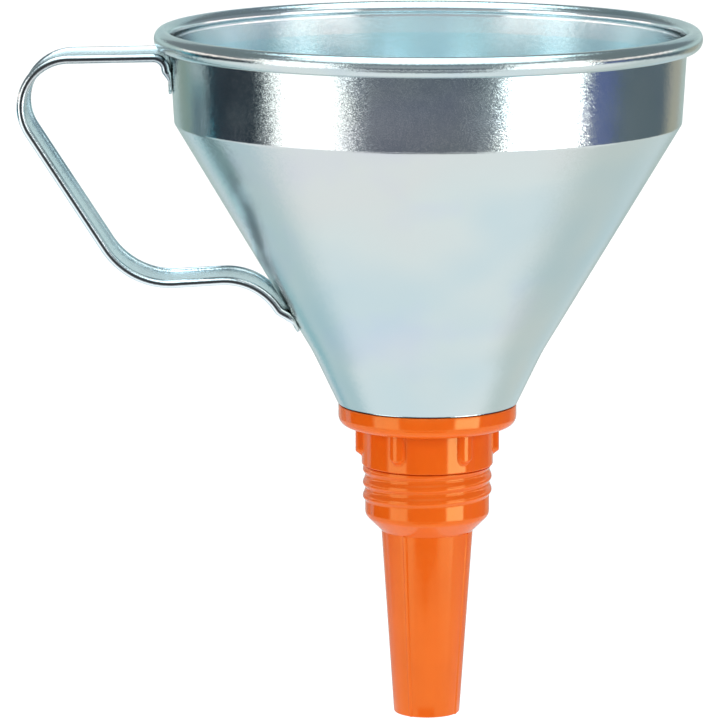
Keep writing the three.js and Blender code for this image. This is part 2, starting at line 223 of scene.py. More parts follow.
def rod_faces(rows, columns, start=0):
    """Quads between rings of points, and a cap on each end."""
    last = start + (rows - 1) * columns
    faces = ring_faces(rows, columns, start=start)
    faces.append(tuple(reversed(range(start, start + columns))))
    faces.append(tuple(range(last, last + columns)))
    return faces


def lathe(name, points, angles, shape=None, crease=32.0):
    """Revolves a closed outline about Z; shape(r, z, angle) may move each point."""
    verts = []
    for r, z in points:
        for a in angles:
            rr, zz = shape(r, z, a) if shape else (r, z)
            verts.append((rr * math.cos(a), rr * math.sin(a), zz))
    return add_object(name, verts, ring_faces(len(points), len(angles), closed=True), crease)


def loft(name, rings, crease=32.0):
    """Joins closed rings of points into a skin and closes both ends."""
    verts = [p for ring in rings for p in ring]
    return add_object(name, verts, rod_faces(len(rings), len(rings[0])), crease)


def face_outwards(obj):
    """Turns the skin right side out, judged by its enclosed volume."""
    mesh = obj.data
    volume = 0.0
    mesh.calc_loop_triangles()
    for tri in mesh.loop_triangles:
        a, b, c = (mesh.vertices[i].co for i in tri.vertices)
        volume += a.dot(b.cross(c))
    if volume < 0:
        mesh.flip_normals()
    return obj


# ---- materials ----

def new_material(name):
    material = bpy.data.materials.new(name)
    material.use_nodes = True
    nodes, links = material.node_tree.nodes, material.node_tree.links
    return material, nodes, links, nodes["Principled BSDF"]


def noise(nodes, links, scale, detail=3.0, stretch=None):
    """A noise texture in the object's own coordinates, optionally stretched per axis."""
    coords = nodes.new("ShaderNodeTexCoord").outputs["Object"]
    if stretch:
        mapping = nodes.new("ShaderNodeMapping")
        mapping.inputs["Scale"].default_value = stretch
        links.new(coords, mapping.inputs["Vector"])
        coords = mapping.outputs["Vector"]
    texture = nodes.new("ShaderNodeTexNoise")
    texture.inputs["Scale"].default_value = scale
    texture.inputs["Detail"].default_value = detail
    links.new(coords, texture.inputs["Vector"])
    return texture.outputs["Fac"]


def ramp(nodes, links, source, stops):
    """Colours along a 0-1 value; stops are (position, colour)."""
    node = nodes.new("ShaderNodeValToRGB")
    elements = node.color_ramp.elements
    while len(elements) < len(stops):
        elements.new(0.5)
    for element, (position, colour) in zip(elements, stops):
        element.position = position
        element.color = (*colour, 1.0)
    links.new(source, node.inputs["Fac"])
    return node.outputs["Color"]


def span(nodes, links, source, low, high, from_low=0.3, from_high=0.7):
    """Maps one range of values to another; the first is by default the middle of a noise."""
    node = nodes.new("ShaderNodeMapRange")
    node.inputs["From Min"].default_value = from_low
    node.inputs["From Max"].default_value = from_high
    node.inputs["To Min"].default_value = low
    node.inputs["To Max"].default_value = high
    links.new(source, node.inputs["Value"])
    return node.outputs["Result"]


def bump(nodes, links, layers, target, normal=None):
    """Stacks bump layers of (height, distance in metres, strength) onto a shader's normal."""
    previous = normal
    for height, distance, strength in layers:
        node = nodes.new("ShaderNodeBump")
        node.inputs["Distance"].default_value = distance
        node.inputs["Strength"].default_value = strength
        links.new(height, node.inputs["Height"])
        if previous:
            links.new(previous, node.inputs["Normal"])
        previous = node.outputs["Normal"]
    links.new(previous, target.inputs["Normal"])


def crystals(nodes, links, scale, tilt):
    """A normal that leans a little differently on each small crystal of the plating."""
    cells = nodes.new("ShaderNodeTexVoronoi")
    cells.inputs["Scale"].default_value = scale
    links.new(nodes.new("ShaderNodeTexCoord").outputs["Object"], cells.inputs["Vector"])
    centred = nodes.new("ShaderNodeVectorMath")
    centred.operation = "SUBTRACT"
    centred.inputs[1].default_value = (0.5, 0.5, 0.5)
    links.new(cells.outputs["Color"], centred.inputs[0])
    leaning = nodes.new("ShaderNodeVectorMath")
    leaning.operation = "SCALE"
    links.new(tilt, leaning.inputs["Scale"])
    links.new(centred.outputs["Vector"], leaning.inputs[0])
    total = nodes.new("ShaderNodeVectorMath")
    total.operation = "ADD"
    links.new(nodes.new("ShaderNodeNewGeometry").outputs["Normal"], total.inputs[0])
    links.new(leaning.outputs["Vector"], total.inputs[1])
    unit = nodes.new("ShaderNodeVectorMath")
    unit.operation = "NORMALIZE"
    links.new(total.outputs["Vector"], unit.inputs[0])
    return unit.outputs["Vector"]


def combine(nodes, links, first, second, operation="SUBTRACT"):
    """One value made from two by a math node."""
    node = nodes.new("ShaderNodeMath")
    node.operation = operation
    links.new(first, node.inputs[0])
    links.new(second, node.inputs[1])
    return node.outputs["Value"]


def wall_regions(nodes, links):
    """Shares that are 1 on the bowl's inner wall, on a strip high inside the band that is painted
    lighter, on the handle, and on a thin line along its beads' outer edges that is painted dark,
    and a share that rises from the handle's leg to its top bar."""
    axes = nodes.new("ShaderNodeSeparateXYZ")
    links.new(nodes.new("ShaderNodeTexCoord").outputs["Object"], axes.inputs["Vector"])
    flat = nodes.new("ShaderNodeCombineXYZ")
    links.new(axes.outputs["X"], flat.inputs["X"])
    links.new(axes.outputs["Y"], flat.inputs["Y"])
    radius = nodes.new("ShaderNodeVectorMath")
    radius.operation = "LENGTH"
    links.new(flat.outputs["Vector"], radius.inputs[0])
    height, half = axes.outputs["Z"], SHEET / 2
    cone = (cone_radius(LIP_Z) - half, BAND_BOTTOM_RADIUS - half, LIP_Z, BAND_BOTTOM_Z)
    band = (0.0, band_radius(RIM_Z) - BAND_BOTTOM_RADIUS, BAND_BOTTOM_Z, RIM_Z)
    cone_wall = span(nodes, links, height, *(value * MM for value in cone))
    band_wall = span(nodes, links, height, *(value * MM for value in band))
    wall = combine(nodes, links, cone_wall, band_wall, "ADD")
    depth = combine(nodes, links, wall, radius.outputs["Value"])
    inside = span(nodes, links, depth, 0.0, 1.0, -0.1 * MM, 0.1 * MM)
    # Share of the inner wall above STRIP_Z, where a paler colour is painted as light.
    above = span(nodes, links, height, 0.0, 1.0, STRIP_Z * MM, (STRIP_Z + 0.5) * MM)
    strip_painted_light = combine(nodes, links, inside, above, "MULTIPLY")
    clear = span(nodes, links, depth, 1.0, 0.0, -2.2 * MM, -1.4 * MM)
    below_roll = span(nodes, links, height, 1.0, 0.0, (RIM_Z - 4.4) * MM, (RIM_Z - 4.1) * MM)
    above_throat = span(nodes, links, height, 0.0, 1.0, (THROAT_Z + 5.0) * MM, (THROAT_Z + 5.5) * MM)
    between = combine(nodes, links, below_roll, above_throat, "MULTIPLY")
    strap = combine(nodes, links, clear, between, "MULTIPLY")
    # A thin line along the outer edge of each bead, where a dark reflection is painted.
    aside = combine(nodes, links, axes.outputs["Y"], axes.outputs["Y"], "MULTIPLY")
    outermost = BEAD_Y + BEAD_RADIUS
    squares = [((outermost - inset) * MM) ** 2 for inset in (0.14, 0.04)]
    edge = span(nodes, links, aside, 0.0, 1.0, *squares)
    bead_painted_dark_line = combine(nodes, links, strap, edge, "MULTIPLY")
    high = span(nodes, links, height, 0.0, 1.0, 150.0 * MM, 165.0 * MM)
    return inside, strip_painted_light, strap, bead_painted_dark_line, high


def blend(nodes, links, share, first, second):
    """A mix of two colours by a 0-1 share."""
    node = nodes.new("ShaderNodeMix")
    node.data_type = "RGBA"
    links.new(share, node.inputs[0])
    links.new(first, node.inputs[6])
    links.new(second, node.inputs[7])
    return node.outputs[2]


def zinc_steel(name):
    """Bright zinc plating: cool metal with faint blue and straw tints and a fine sparkle."""
    material, nodes, links, shader = new_material(name)
    tint = noise(nodes, links, 14.0, 2.0)
    colour = ramp(nodes, links, tint, [
        (0.36, (0.560, 0.680, 0.705)),
        (0.50, (0.640, 0.715, 0.705)),
        (0.64, (0.665, 0.705, 0.690)),
    ])
    # The inner wall takes a paler, bluer copy of the zinc. This is painted light that makes the inside of
    # the bowl lighter than the outside.
    inner = ramp(nodes, links, tint, [(0.36, (0.75, 0.92, 0.96)), (0.64, (0.80, 0.92, 0.94))])
    # The strip high inside the band takes a still paler copy: painted light, brighter than the wall below
    # it.
    bright = ramp(nodes, links, tint, [(0.36, (0.84, 0.93, 0.95)), (0.64, (0.88, 0.93, 0.94))])
    inside, strip_painted_light, strap, bead_painted_dark_line, high = wall_regions(nodes, links)
    colour = blend(nodes, links, inside, colour, inner)
    colour = blend(nodes, links, strip_painted_light, colour, bright)
    stain = span(nodes, links, noise(nodes, links, 26.0, 3.0), 0.0, 0.28, 0.52, 0.70)
    violet = ramp(nodes, links, tint, [(0.4, (0.50, 0.57, 0.80)), (0.6, (0.58, 0.58, 0.74))])
    colour = blend(nodes, links, stain, colour, violet)
    # drawn is the handle's own copy of the zinc. It is painted light and shade: paler and bluer low on the
    # leg, darker up on the top bar.
    leg = ramp(nodes, links, tint, [(0.4, (0.74, 0.88, 0.94)), (0.6, (0.84, 0.91, 0.93))])
    top_bar = ramp(nodes, links, tint, [(0.4, (0.50, 0.58, 0.62)), (0.6, (0.60, 0.64, 0.65))])
    drawn = blend(nodes, links, high, leg, top_bar)
    colour = blend(nodes, links, strap, colour, drawn)
    # Near-black painted along the beads' outer edges: a painted dark reflection.
    painted_dark_reflection = ramp(nodes, links, tint, [(0.4, (0.06, 0.07, 0.08)), (0.6, (0.09, 0.10, 0.10))])
    colour = blend(nodes, links, bead_painted_dark_line, colour, painted_dark_reflection)
    links.new(colour, shader.inputs["Base Color"])
    shader.inputs["Metallic"].default_value = 1.0
    cloud = noise(nodes, links, 60.0, 4.0)
    links.new(span(nodes, links, cloud, 0.12, 0.18), shader.inputs["Roughness"])
    spun = noise(nodes, links, 1.0, 3.0, (25.0, 25.0, 900.0))
    waves = noise(nodes, links, 70.0, 1.0)
    grain = crystals(nodes, links, 4500.0, span(nodes, links, inside, 0.11, 0.045, 0.0, 1.0))
    bump(nodes, links, [(spun, 0.00002, 0.3), (waves, 0.0004, 0.05)], shader, grain)
    return material


def plain_steel(name):
    material, nodes, links, shader = new_material(name)
    wear = noise(nodes, links, 300.0)
    colour = ramp(nodes, links, wear, [(0.3, (0.52, 0.54, 0.55)), (0.7, (0.66, 0.67, 0.66))])
    links.new(colour, shader.inputs["Base Color"])
    shader.inputs["Metallic"].default_value = 1.0
    links.new(span(nodes, links, wear, 0.25, 0.38), shader.inputs["Roughness"])
    bump(nodes, links, [(noise(nodes, links, 2500.0), 0.00003, 0.4)], shader)
    return material


def orange_plastic(name):
    """Glossy moulded polypropylene with a slight mottle and a faint moulded skin."""
    material, nodes, links, shader = new_material(name)
    mottle = noise(nodes, links, 45.0, 3.0)
    colour = ramp(nodes, links, mottle, [(0.3, (0.71, 0.100, 0.004)), (0.7, (0.76, 0.116, 0.006))])
    links.new(colour, shader.inputs["Base Color"])
    shader.inputs["Subsurface Weight"].default_value = 0.12
    shader.inputs["Subsurface Radius"].default_value = (1.0, 0.35, 0.1)
    shader.inputs["Subsurface Scale"].default_value = 0.002
    shader.inputs["Specular IOR Level"].default_value = 0.75
    shader.inputs["Specular Tint"].default_value = (1.0, 0.95, 0.37, 1.0)
    cloud = noise(nodes, links, 220.0, 4.0)
    links.new(span(nodes, links, cloud, 0.04, 0.08), shader.inputs["Roughness"])
    fine = noise(nodes, links, 900.0, 2.0)
    flow = noise(nodes, links, 90.0, 2.0)
    bump(nodes, links, [(flow, 0.0001, 0.12), (fine, 0.00002, 0.08)], shader)
    return material


def black_rubber(name):
    material, nodes, links, shader = new_material(name)
    dust = noise(nodes, links, 500.0)
    colour = ramp(nodes, links, dust, [(0.3, (0.018, 0.018, 0.018)), (0.7, (0.035, 0.034, 0.033))])
    links.new(colour, shader.inputs["Base Color"])
    links.new(span(nodes, links, dust, 0.5, 0.7), shader.inputs["Roughness"])
    bump(nodes, links, [(dust, 0.00004, 0.4)], shader)
    return material


def brass_wire(name):
    material, nodes, links, shader = new_material(name)
    tarnish = noise(nodes, links, 120.0, 4.0)
    colour = ramp(nodes, links, tarnish, [
        (0.30, (0.50, 0.32, 0.10)),
        (0.55, (0.74, 0.52, 0.20)),
        (0.75, (0.82, 0.62, 0.28)),
    ])
    links.new(colour, shader.inputs["Base Color"])
    shader.inputs["Metallic"].default_value = 1.0
    links.new(span(nodes, links, tarnish, 0.24, 0.4), shader.inputs["Roughness"])
    bump(nodes, links, [(noise(nodes, links, 3000.0), 0.00002, 0.4)], shader)
    return material


def finish(obj, material, body, slot, *replaced):
    """Gives a piece its material, hangs it from its body's empty and hides the parts it stands for; slot
    is not used.
    """
    obj.data.materials.append(material)
    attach(obj, body)
    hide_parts(*replaced)
    return obj


# ---- bowl ----

def make_bowl(material):
    """One sheet: lip, throat, cone, band, and a rim rolled outwards, drawn from its inside."""
    lip_corner = (throat_radius(LIP_Z), LIP_Z)
    throat = (cone_radius(THROAT_Z), THROAT_Z)
    bend = (BAND_BOTTOM_RADIUS, BAND_BOTTOM_Z)
    band_top_z = RIM_Z - 1.6
    band_top = (band_radius(band_top_z), band_top_z)
    outside = [(LIP_INNER_RADIUS, LIP_Z)]
    outside += fillet((LIP_INNER_RADIUS, LIP_Z), lip_corner, throat, LIP_ROUND, 8)
    outside += fillet(lip_corner, throat, bend, THROAT_ROUND, 14)
    outside += fillet(throat, bend, band_top, BAND_ROUND, 8)
    outside += [band_top]
    inside = offset(outside, -SHEET)
    roll_centre, squash = RIM_RADIUS - ROLL_HALF_WIDTH, ROLL_HALF_WIDTH / ROLL_HALF_HEIGHT
    round_roll = arc(0.0, RIM_Z, ROLL_HALF_HEIGHT, 192, -105, 44)
    line = inside + [(roll_centre + r * squash, z) for r, z in round_roll]
    closed = line + list(reversed(offset(line, SHEET)))
    bowl = lathe("bowl_sheet", split(guarded(closed, 0.4, 3.0), 9.0), even_angles(288))
    return finish(face_outwards(bowl), material, "vessel", "zinc_steel", "bowl")


# ---- handle ----

def handle_path():
    """Middle of the strip as (x, z) points, from the band's tab to the cone's tab."""
    upper = [(-band_radius(z) - 0.8, z) for z in (UPPER_TAB_END, 162, 164, 166, 168)]
    path = upper + arc(-99.6, 169.2, 4.5, 0, 90, 12)   # out under the roll
    path += arc(-130.3, 155.5, 17.6, 91.2, 213, 40)    # from the top bar down into the leg
    path += arc(-94.2, 118.85, 28.0, 213, 274.1, 26)   # from the leg to the lower bar
    path += arc(-74.05, 69.0, 23.0, 94.1, 30.7, 26)    # down onto the cone
    path += [(-cone_radius(z) - 0.93, z) for z in (79, 77, 75, 73.5, LOWER_TAB_END)]
    return path


def strip_ring(half_width, bead, steps=14):
    """Section of the strip as (across, along normal) points: two beads joined by flat sheet."""
    half = STRIP_THICKNESS / 2
    reach = math.asin(min(half / bead, 1.0))
    ring = []
    for side in (1, -1):
        for i in range(steps + 1):
            a = reach + (2 * math.pi - 2 * reach) * i / steps
            across = side * (half_width - bead * math.cos(a))
            ring.append((across, side * bead * math.sin(a)))
        ring += [(side * half_width * t, -side * half) for t in (0.75, 0.5, 0.25, 0.0, -0.25, -0.5, -0.75)]
    return ring


def weld_dent(y, to_end, welds):
    """Depth of the electrode marks at a place on a tab: round dents with a raised edge."""
    depth = 0.0
    for weld_y, weld_z in welds:
        d = math.hypot(y - weld_y, to_end - weld_z)
        depth += 0.28 * smooth(2.6, 1.7, d) - 0.10 * math.exp(-((d - 3.0) / 0.5) ** 2)
    return depth


def make_handle(material):
    """The strip swept along its path; its tabs lie flat and bend round the bowl."""
    path = split(handle_path(), 1.2, closed=False)
    rings = []
    for i, (x, z) in enumerate(path):
        run = direction(path, i)
        normal = Vector((run.y, -run.x))
        outer = 1 if normal.x < 0 else -1  # the side that faces away from the bowl
        if x > -97 and z > 150:  # the tab on the band
            to_end, radius, welds = z - UPPER_TAB_END, band_radius(z), UPPER_WELDS
            rolled, hug = smooth(4.5, 8.5, to_end), smooth(9.0, 4.0, to_end)
        elif x > -60 and z < 90:  # the tab on the cone
            to_end, radius, welds = z - LOWER_TAB_END, cone_radius(z), LOWER_WELDS
            rolled, hug = smooth(3.0, 6.0, to_end), smooth(9.0, 3.0, to_end)
        else:
            to_end, radius, welds = 99.0, 99.0, []
            rolled, hug = 1.0, 0.0
        corner = max(TAB_CORNER - to_end, 0.0)
        inset = TAB_CORNER - math.sqrt(max(TAB_CORNER ** 2 - corner ** 2, 0.0))
        half_width = BEAD_Y - inset
        # A tab's bead shrinks to a little over half the sheet, so that its section stays whole.
        bead = STRIP_THICKNESS / 2 + 0.001 + (BEAD_RADIUS - STRIP_THICKNESS / 2) * rolled
        ring = []
        for across, out in strip_ring(half_width, bead):
            wrap = hug * (radius - math.sqrt(max(radius ** 2 - across ** 2, 0.0)))
            dent = weld_dent(across, to_end, welds) if out * outer > 0 else 0.0
            push = out - dent * outer
            ring.append((x + normal.x * push + wrap, across, z + normal.y * push))
        rings.append(ring)
    handle = loft("handle_strip", rings, 40.0)
    return finish(face_outwards(handle), material, "vessel", "zinc_steel", "handle")


# ---- spout ----

def spout_outline():
    """The whole section, clockwise from the outlet's bore, each corner with its rounding."""
    foot = (TUBE_TOP[0] + 0.15, TUBE_TOP[1] + 0.1)
    shoulder_z = foot[1] + THREAD_ROOT - foot[0]
    seal_floor = LIP_Z - PLAY - SEAL_THICKNESS - PLAY / 2
    groove_out, groove_in = SEAL_OUTER + PLAY, SEAL_INNER - PLAY
    body_foot_z, collar_foot_z = BODY_END_Z - 0.3, COLLAR_SIDE_Z - COLLAR_ROUND
    return outline([
        (TUBE_END[0] - WALL, TUBE_END[1], 0.3),
        (TUBE_END[0], TUBE_END[1], 0.5),
        (*TUBE_TOP, 0.0),
        (*foot, 0.0),
        (THREAD_ROOT, shoulder_z, SHOULDER_ROUND),
        (THREAD_ROOT, body_foot_z, 0.6),
        (BODY_RADIUS, body_foot_z, 0.3),
        (BODY_RADIUS, collar_foot_z, 0.7),
        (COLLAR_RADIUS, collar_foot_z, COLLAR_ROUND),
        (COLLAR_RADIUS, COLLAR_TOP_Z, 0.4),
        (groove_out, COLLAR_TOP_Z, 0.15),
        (groove_out, seal_floor, 0.15),
        (groove_in, seal_floor, 0.15),
        (groove_in, COLLAR_TOP_Z, 0.15),
        (SOCKET_RADIUS, COLLAR_TOP_Z, 0.4),
        (SOCKET_RADIUS, SOCKET_FLOOR_Z, 0.3),
        (BORE_RADIUS, SOCKET_FLOOR_Z, 0.3),
        (BORE_RADIUS, SHOULDER_INSIDE_Z, 2.0),
        (TUBE_TOP[0] - WALL, TUBE_TOP[1], 1.0),
    ])


def thread_height(z, angle):
    """Height of the outer thread above its root at a place on the wall, 0 to 1."""
    turns = (math.degrees(angle) - THREAD_AZIMUTH) / 360
    along = z - THREAD_Z - turns * THREAD_PITCH
    off = (along + THREAD_UNDERCUT) % THREAD_PITCH - THREAD_UNDERCUT
    place = turns + (along - off) / THREAD_PITCH
    ends = smooth(-0.02, 0.10, place) * smooth(THREAD_TURNS + 0.02, THREAD_TURNS - 0.05, place)
    reach = THREAD_UNDERCUT if off < 0 else THREAD_PITCH - THREAD_UNDERCUT
    return ends * (0.5 + 0.5 * math.cos(math.pi * off / reach))


def lug_height(z, angle):
    """Height of the grip lugs above the body at a place on the wall, 0 to 1."""
    side = from_nearest(angle, LUG_COUNT, LUG_AZIMUTH) * LUG_RADIUS
    half = LUG_WIDTH / 2
    up = z - (LUG_BOTTOM_Z + half)
    inside = half - (abs(side) if up > 0 else math.hypot(side, up))
    # The round foot slopes further out than the sides, and the face is slightly domed.
    slant = 0.0 if up > 0 else max(-up / max(math.hypot(side, up), 1e-6), 0.0)
    slope = 0.45 + 2.0 * slant
    return smooth(-0.1, slope, inside) * (1 - 0.042 * side * side)


def rib_height(angle):
    """Height of the tube's shallow ribs at an angle, 0 to 1."""
    side = abs(from_nearest(angle, RIB_COUNT, RIB_AZIMUTH)) * (TUBE_TOP[0] + TUBE_END[0]) / 2
    return smooth(RIB_WIDTH / 2 + 0.18, RIB_WIDTH / 2 - 0.3, side)


def spout_shape(r, z, angle):
    """Adds ribs to the tube, the thread to the neck and grip lugs to the body."""
    if r > TUBE_END[0] - 0.7 and z < TUBE_TOP[1] + 0.01:
        taper = (TUBE_TOP[0] - TUBE_END[0]) / (TUBE_TOP[1] - TUBE_END[1])
        wall = TUBE_END[0] + taper * (z - TUBE_END[1])
        if r > wall - 0.7:
            return r + RIB_HEIGHT * rib_height(angle), z
    if r > THREAD_ROOT - 0.2 and 5.0 < z < BODY_END_Z - 0.85:
        ridge = THREAD_ROOT + (THREAD_CREST - THREAD_ROOT) * thread_height(z, angle)
        return max(r, ridge), z
    if BODY_RADIUS - 0.6 < r < LUG_RADIUS and BODY_END_Z < z <= COLLAR_SIDE_Z - COLLAR_ROUND + 0.4:
        lug = BODY_RADIUS + (LUG_RADIUS - BODY_RADIUS) * lug_height(z, angle)
        return max(r, lug), z
    return r, z


def make_spout(material):
    """One moulding, with close points wherever ribs, thread or lugs are raised on it."""
    zones = detail_zones(LUG_COUNT, LUG_AZIMUTH, 9.0, 0.5)
    zones += detail_zones(RIB_COUNT, RIB_AZIMUTH, 4.0, 0.5)
    points, corners = [], spout_outline()
    for a, b in zip(corners, corners[1:] + corners[:1]):
        textured = min(a[0], b[0]) > TUBE_TOP[0] and max(a[1], b[1]) < COLLAR_SIDE_Z
        points += split([a, b], 0.22 if textured else 6.0, closed=False)[:-1]
    spout = lathe("spout_moulding", points, angles_with_detail(2.0, zones), spout_shape, 38.0)
    return finish(face_outwards(spout), material, "outlet", "orange_plastic", "spout")


# ---- rings inside the bowl ----

def make_seal(material):
    """A flat rubber ring in the collar's groove, just under the bowl's lip."""
    top = LIP_Z - PLAY
    bottom, rounding = top - SEAL_THICKNESS, 0.3
    corners = [
        (SEAL_INNER, bottom, rounding), (SEAL_OUTER, bottom, rounding),
        (SEAL_OUTER, top, rounding), (SEAL_INNER, top, rounding),
    ]
    seal = lathe("seal_rubber", outline(corners), even_angles(144))
    return finish(face_outwards(seal), material, "seal", "black_rubber", "seal_ring")


def clamp_shape(r, z, angle):
    """Spanner notches in the flange's inner edge and a fine thread on the skirt."""
    side = abs(from_nearest(angle, NOTCH_COUNT, NOTCH_AZIMUTH)) * CLAMP_BORE
    if r < CLAMP_BORE + 0.5 and z > FLANGE_Z:
        return r + NOTCH_DEPTH * smooth(NOTCH_WIDTH / 2 + 0.2, NOTCH_WIDTH / 2 - 0.2, side), z
    if SOCKET_RADIUS - 0.7 < r < SOCKET_RADIUS and z < FLANGE_Z - 0.5:
        phase = (z / CLAMP_PITCH - math.degrees(angle) / 360) % 1.0
        return r - CLAMP_THREAD * smooth(0.15, 0.45, abs(phase - 0.5)), z
    return r, z


def make_clamp_ring(material):
    """A flange that lies on the bowl's lip, and a threaded skirt inside the spout's socket."""
    top, bottom = FLANGE_Z + CLAMP_FLANGE, FLANGE_Z - CLAMP_DEPTH
    skirt = SOCKET_RADIUS - 0.5
    corners = [
        (CLAMP_BORE, bottom, 0.3), (skirt, bottom, 0.4), (skirt, FLANGE_Z, 0.3),
        (CLAMP_FLANGE_RADIUS, FLANGE_Z, 0.3), (CLAMP_FLANGE_RADIUS, top, 0.5),
        (CLAMP_BORE, top, 0.3), (CLAMP_BORE, FLANGE_Z, 0.0),
    ]
    angles = angles_with_detail(3.0, detail_zones(NOTCH_COUNT, NOTCH_AZIMUTH, 10.5, 0.35))
    ring = lathe("clamp_moulding", split(outline(corners), 0.3), angles, clamp_shape)
    return finish(face_outwards(ring), material, "vessel", "orange_plastic", "clamp_ring")


def make_strainer_ring(material):
    """A channel of thin sheet crimped round the gauze's edge."""
    inner, outer = STRAINER_RADIUS - STRAINER_RING, STRAINER_RADIUS
    top, slot, slot_end = STRAINER_Z + STRAINER_RING, 0.45, outer - 1.2
    corners = [
        (inner, STRAINER_Z, 0.5), (outer, STRAINER_Z, 1.1), (outer, top, 1.1), (inner, top, 0.5),
        (inner, GAUZE_Z + slot, 0.3), (slot_end, GAUZE_Z + slot, 0.0),
        (slot_end, GAUZE_Z - slot, 0.0), (inner, GAUZE_Z - slot, 0.3),
    ]
    ring = lathe("strainer_rim", outline(corners), even_angles(180))
    return finish(face_outwards(ring), material, "strainer", "strainer_steel", "strainer_ring")


def wire_rings(points, radius, sides):
    """Rings of a wire along points, its section held square to a flat run."""
    rings = []
    turns = [2 * math.pi * (k + 0.5) / sides for k in range(sides)]
    for i, p in enumerate(points):
        run = direction(points, i)
        side = run.cross(Vector((0, 0, 1))).normalized()
        up = side.cross(run)
        spokes = [side * radius * math.cos(t) + up * radius * math.sin(t) for t in turns]
        rings.append([tuple(Vector(p) + spoke) for spoke in spokes])
    return rings


def make_gauze(material):
    """Plain weave: each wire rises over one crossing wire and dips under the next."""
    count = int(GAUZE_RADIUS / GAUZE_PITCH)
    verts, faces, sides = [], [], 4
    for along_x in (True, False):
        height = (0.9 if along_x else -0.9) * GAUZE_WIRE
        for n in range(-count, count + 1):
            place = n * GAUZE_PITCH
            reach = math.sqrt(GAUZE_RADIUS ** 2 - place ** 2)
            steps = max(2, int(2 * reach / (GAUZE_PITCH / 2)))
            points = []
            for k in range(steps + 1):
                s = -reach + 2 * reach * k / steps
                z = GAUZE_Z + height * math.cos(math.pi * (s / GAUZE_PITCH + n))
                points.append((s, place, z) if along_x else (place, s, z))
            faces += rod_faces(len(points), sides, start=len(verts))
            verts += [p for ring in wire_rings(points, GAUZE_WIRE, sides) for p in ring]
    gauze = add_object("strainer_weave", verts, faces, 60.0)
    return finish(face_outwards(gauze), material, "strainer", "brass_gauze", "strainer_gauze")


def make_loop(material):
    """A bent wire to lift the strainer by, its two feet lying on the gauze."""
    foot_z = GAUZE_Z + 0.2 + PLAY + LOOP_WIRE
    bend, half = 1.6, LOOP_HALF_WIDTH
    top = foot_z + bend + LOOP_LEG
    path = [(-half - bend - LOOP_FOOT, foot_z)]
    path += arc(-half - bend, foot_z + bend, bend, -90, 0, 8)
    path += arc(0.0, top, half, 180, 0, 32)
    path += arc(half + bend, foot_z + bend, bend, 180, 270, 8)
    path += [(half + bend + LOOP_FOOT, foot_z)]
    circle = [(LOOP_WIRE * math.cos(t), LOOP_WIRE * math.sin(t)) for t in even_angles(16)]
    rings = []
    for i, (x, z) in enumerate(path):
        run = direction(path, i)
        rings.append([(x - run.y * out, y, z + run.x * out) for out, y in circle])
    loop = loft("strainer_lift_loop", rings)
    return finish(face_outwards(loop), material, "strainer", "strainer_steel", "strainer_loop")


# ---- studio ----

FLOOR_Z = TUBE_END[1] * MM - 0.25  # a quarter of a metre below the spout's end
PAPER_RADIUS, PAPER_TOP, SHELL_RADIUS = 7.5, 6.0, 8.0


def stage_object(name, verts, faces, material):
    """An object of the studio, from points in metres."""
    mesh = bpy.data.meshes.new(name)
    mesh.from_pydata(verts, [], faces)
    mesh.materials.append(material)
    obj = bpy.data.objects.new(name, mesh)
    bpy.context.scene.collection.objects.link(obj)
    return obj


def glowing(name):
    """A material that only gives off light, with its nodes, links and colour socket."""
    material = bpy.data.materials.new(name)
    material.use_nodes = True
    nodes, links = material.node_tree.nodes, material.node_tree.links
    nodes.clear()
    glow = nodes.new("ShaderNodeEmission")
    output = nodes.new("ShaderNodeOutputMaterial")
    links.new(glow.outputs["Emission"], output.inputs["Surface"])
    return material, nodes, links, glow.inputs["Color"]


def seen_only_by(obj, camera=False, glossy=False):
    """Hides an object from every ray but those named."""
    obj.visible_camera = camera
    obj.visible_glossy = glossy
    obj.visible_diffuse = False
    obj.visible_shadow = False
    obj.visible_transmission = False
    obj.visible_volume_scatter = False


def paper_grain(nodes, links, dark, light):
    """A grey that drifts slightly between two values, as paper does."""
    return ramp(nodes, links, noise(nodes, links, 30.0), [(0.3, (dark,) * 3), (0.7, (light,) * 3)])


def make_floor():
    half = 30.0
    verts = [(x * half, y * half, FLOOR_Z) for x, y in ((-1, -1), (1, -1), (1, 1), (-1, 1))]
    material, nodes, links, shader = new_material("studio_paper")
    links.new(paper_grain(nodes, links, 0.92, 0.94), shader.inputs["Base Color"])
    shader.inputs["Roughness"].default_value = 0.9
    floor = stage_object("studio_floor", verts, [(0, 1, 2, 3)], material)
    floor.visible_glossy = False


def make_backdrop():
    """White paper standing round the floor, which only the camera sees."""
    circle = [(PAPER_RADIUS * math.cos(a), PAPER_RADIUS * math.sin(a)) for a in even_angles(96)]
    verts = [(x, y, z) for z in (FLOOR_Z, PAPER_TOP) for x, y in circle]
    material, nodes, links, colour = glowing("backdrop_paper")
    links.new(paper_grain(nodes, links, 1.0, 1.02), colour)
    paper = stage_object("studio_backdrop", verts, ring_faces(2, len(circle)), material)
    seen_only_by(paper, camera=True)


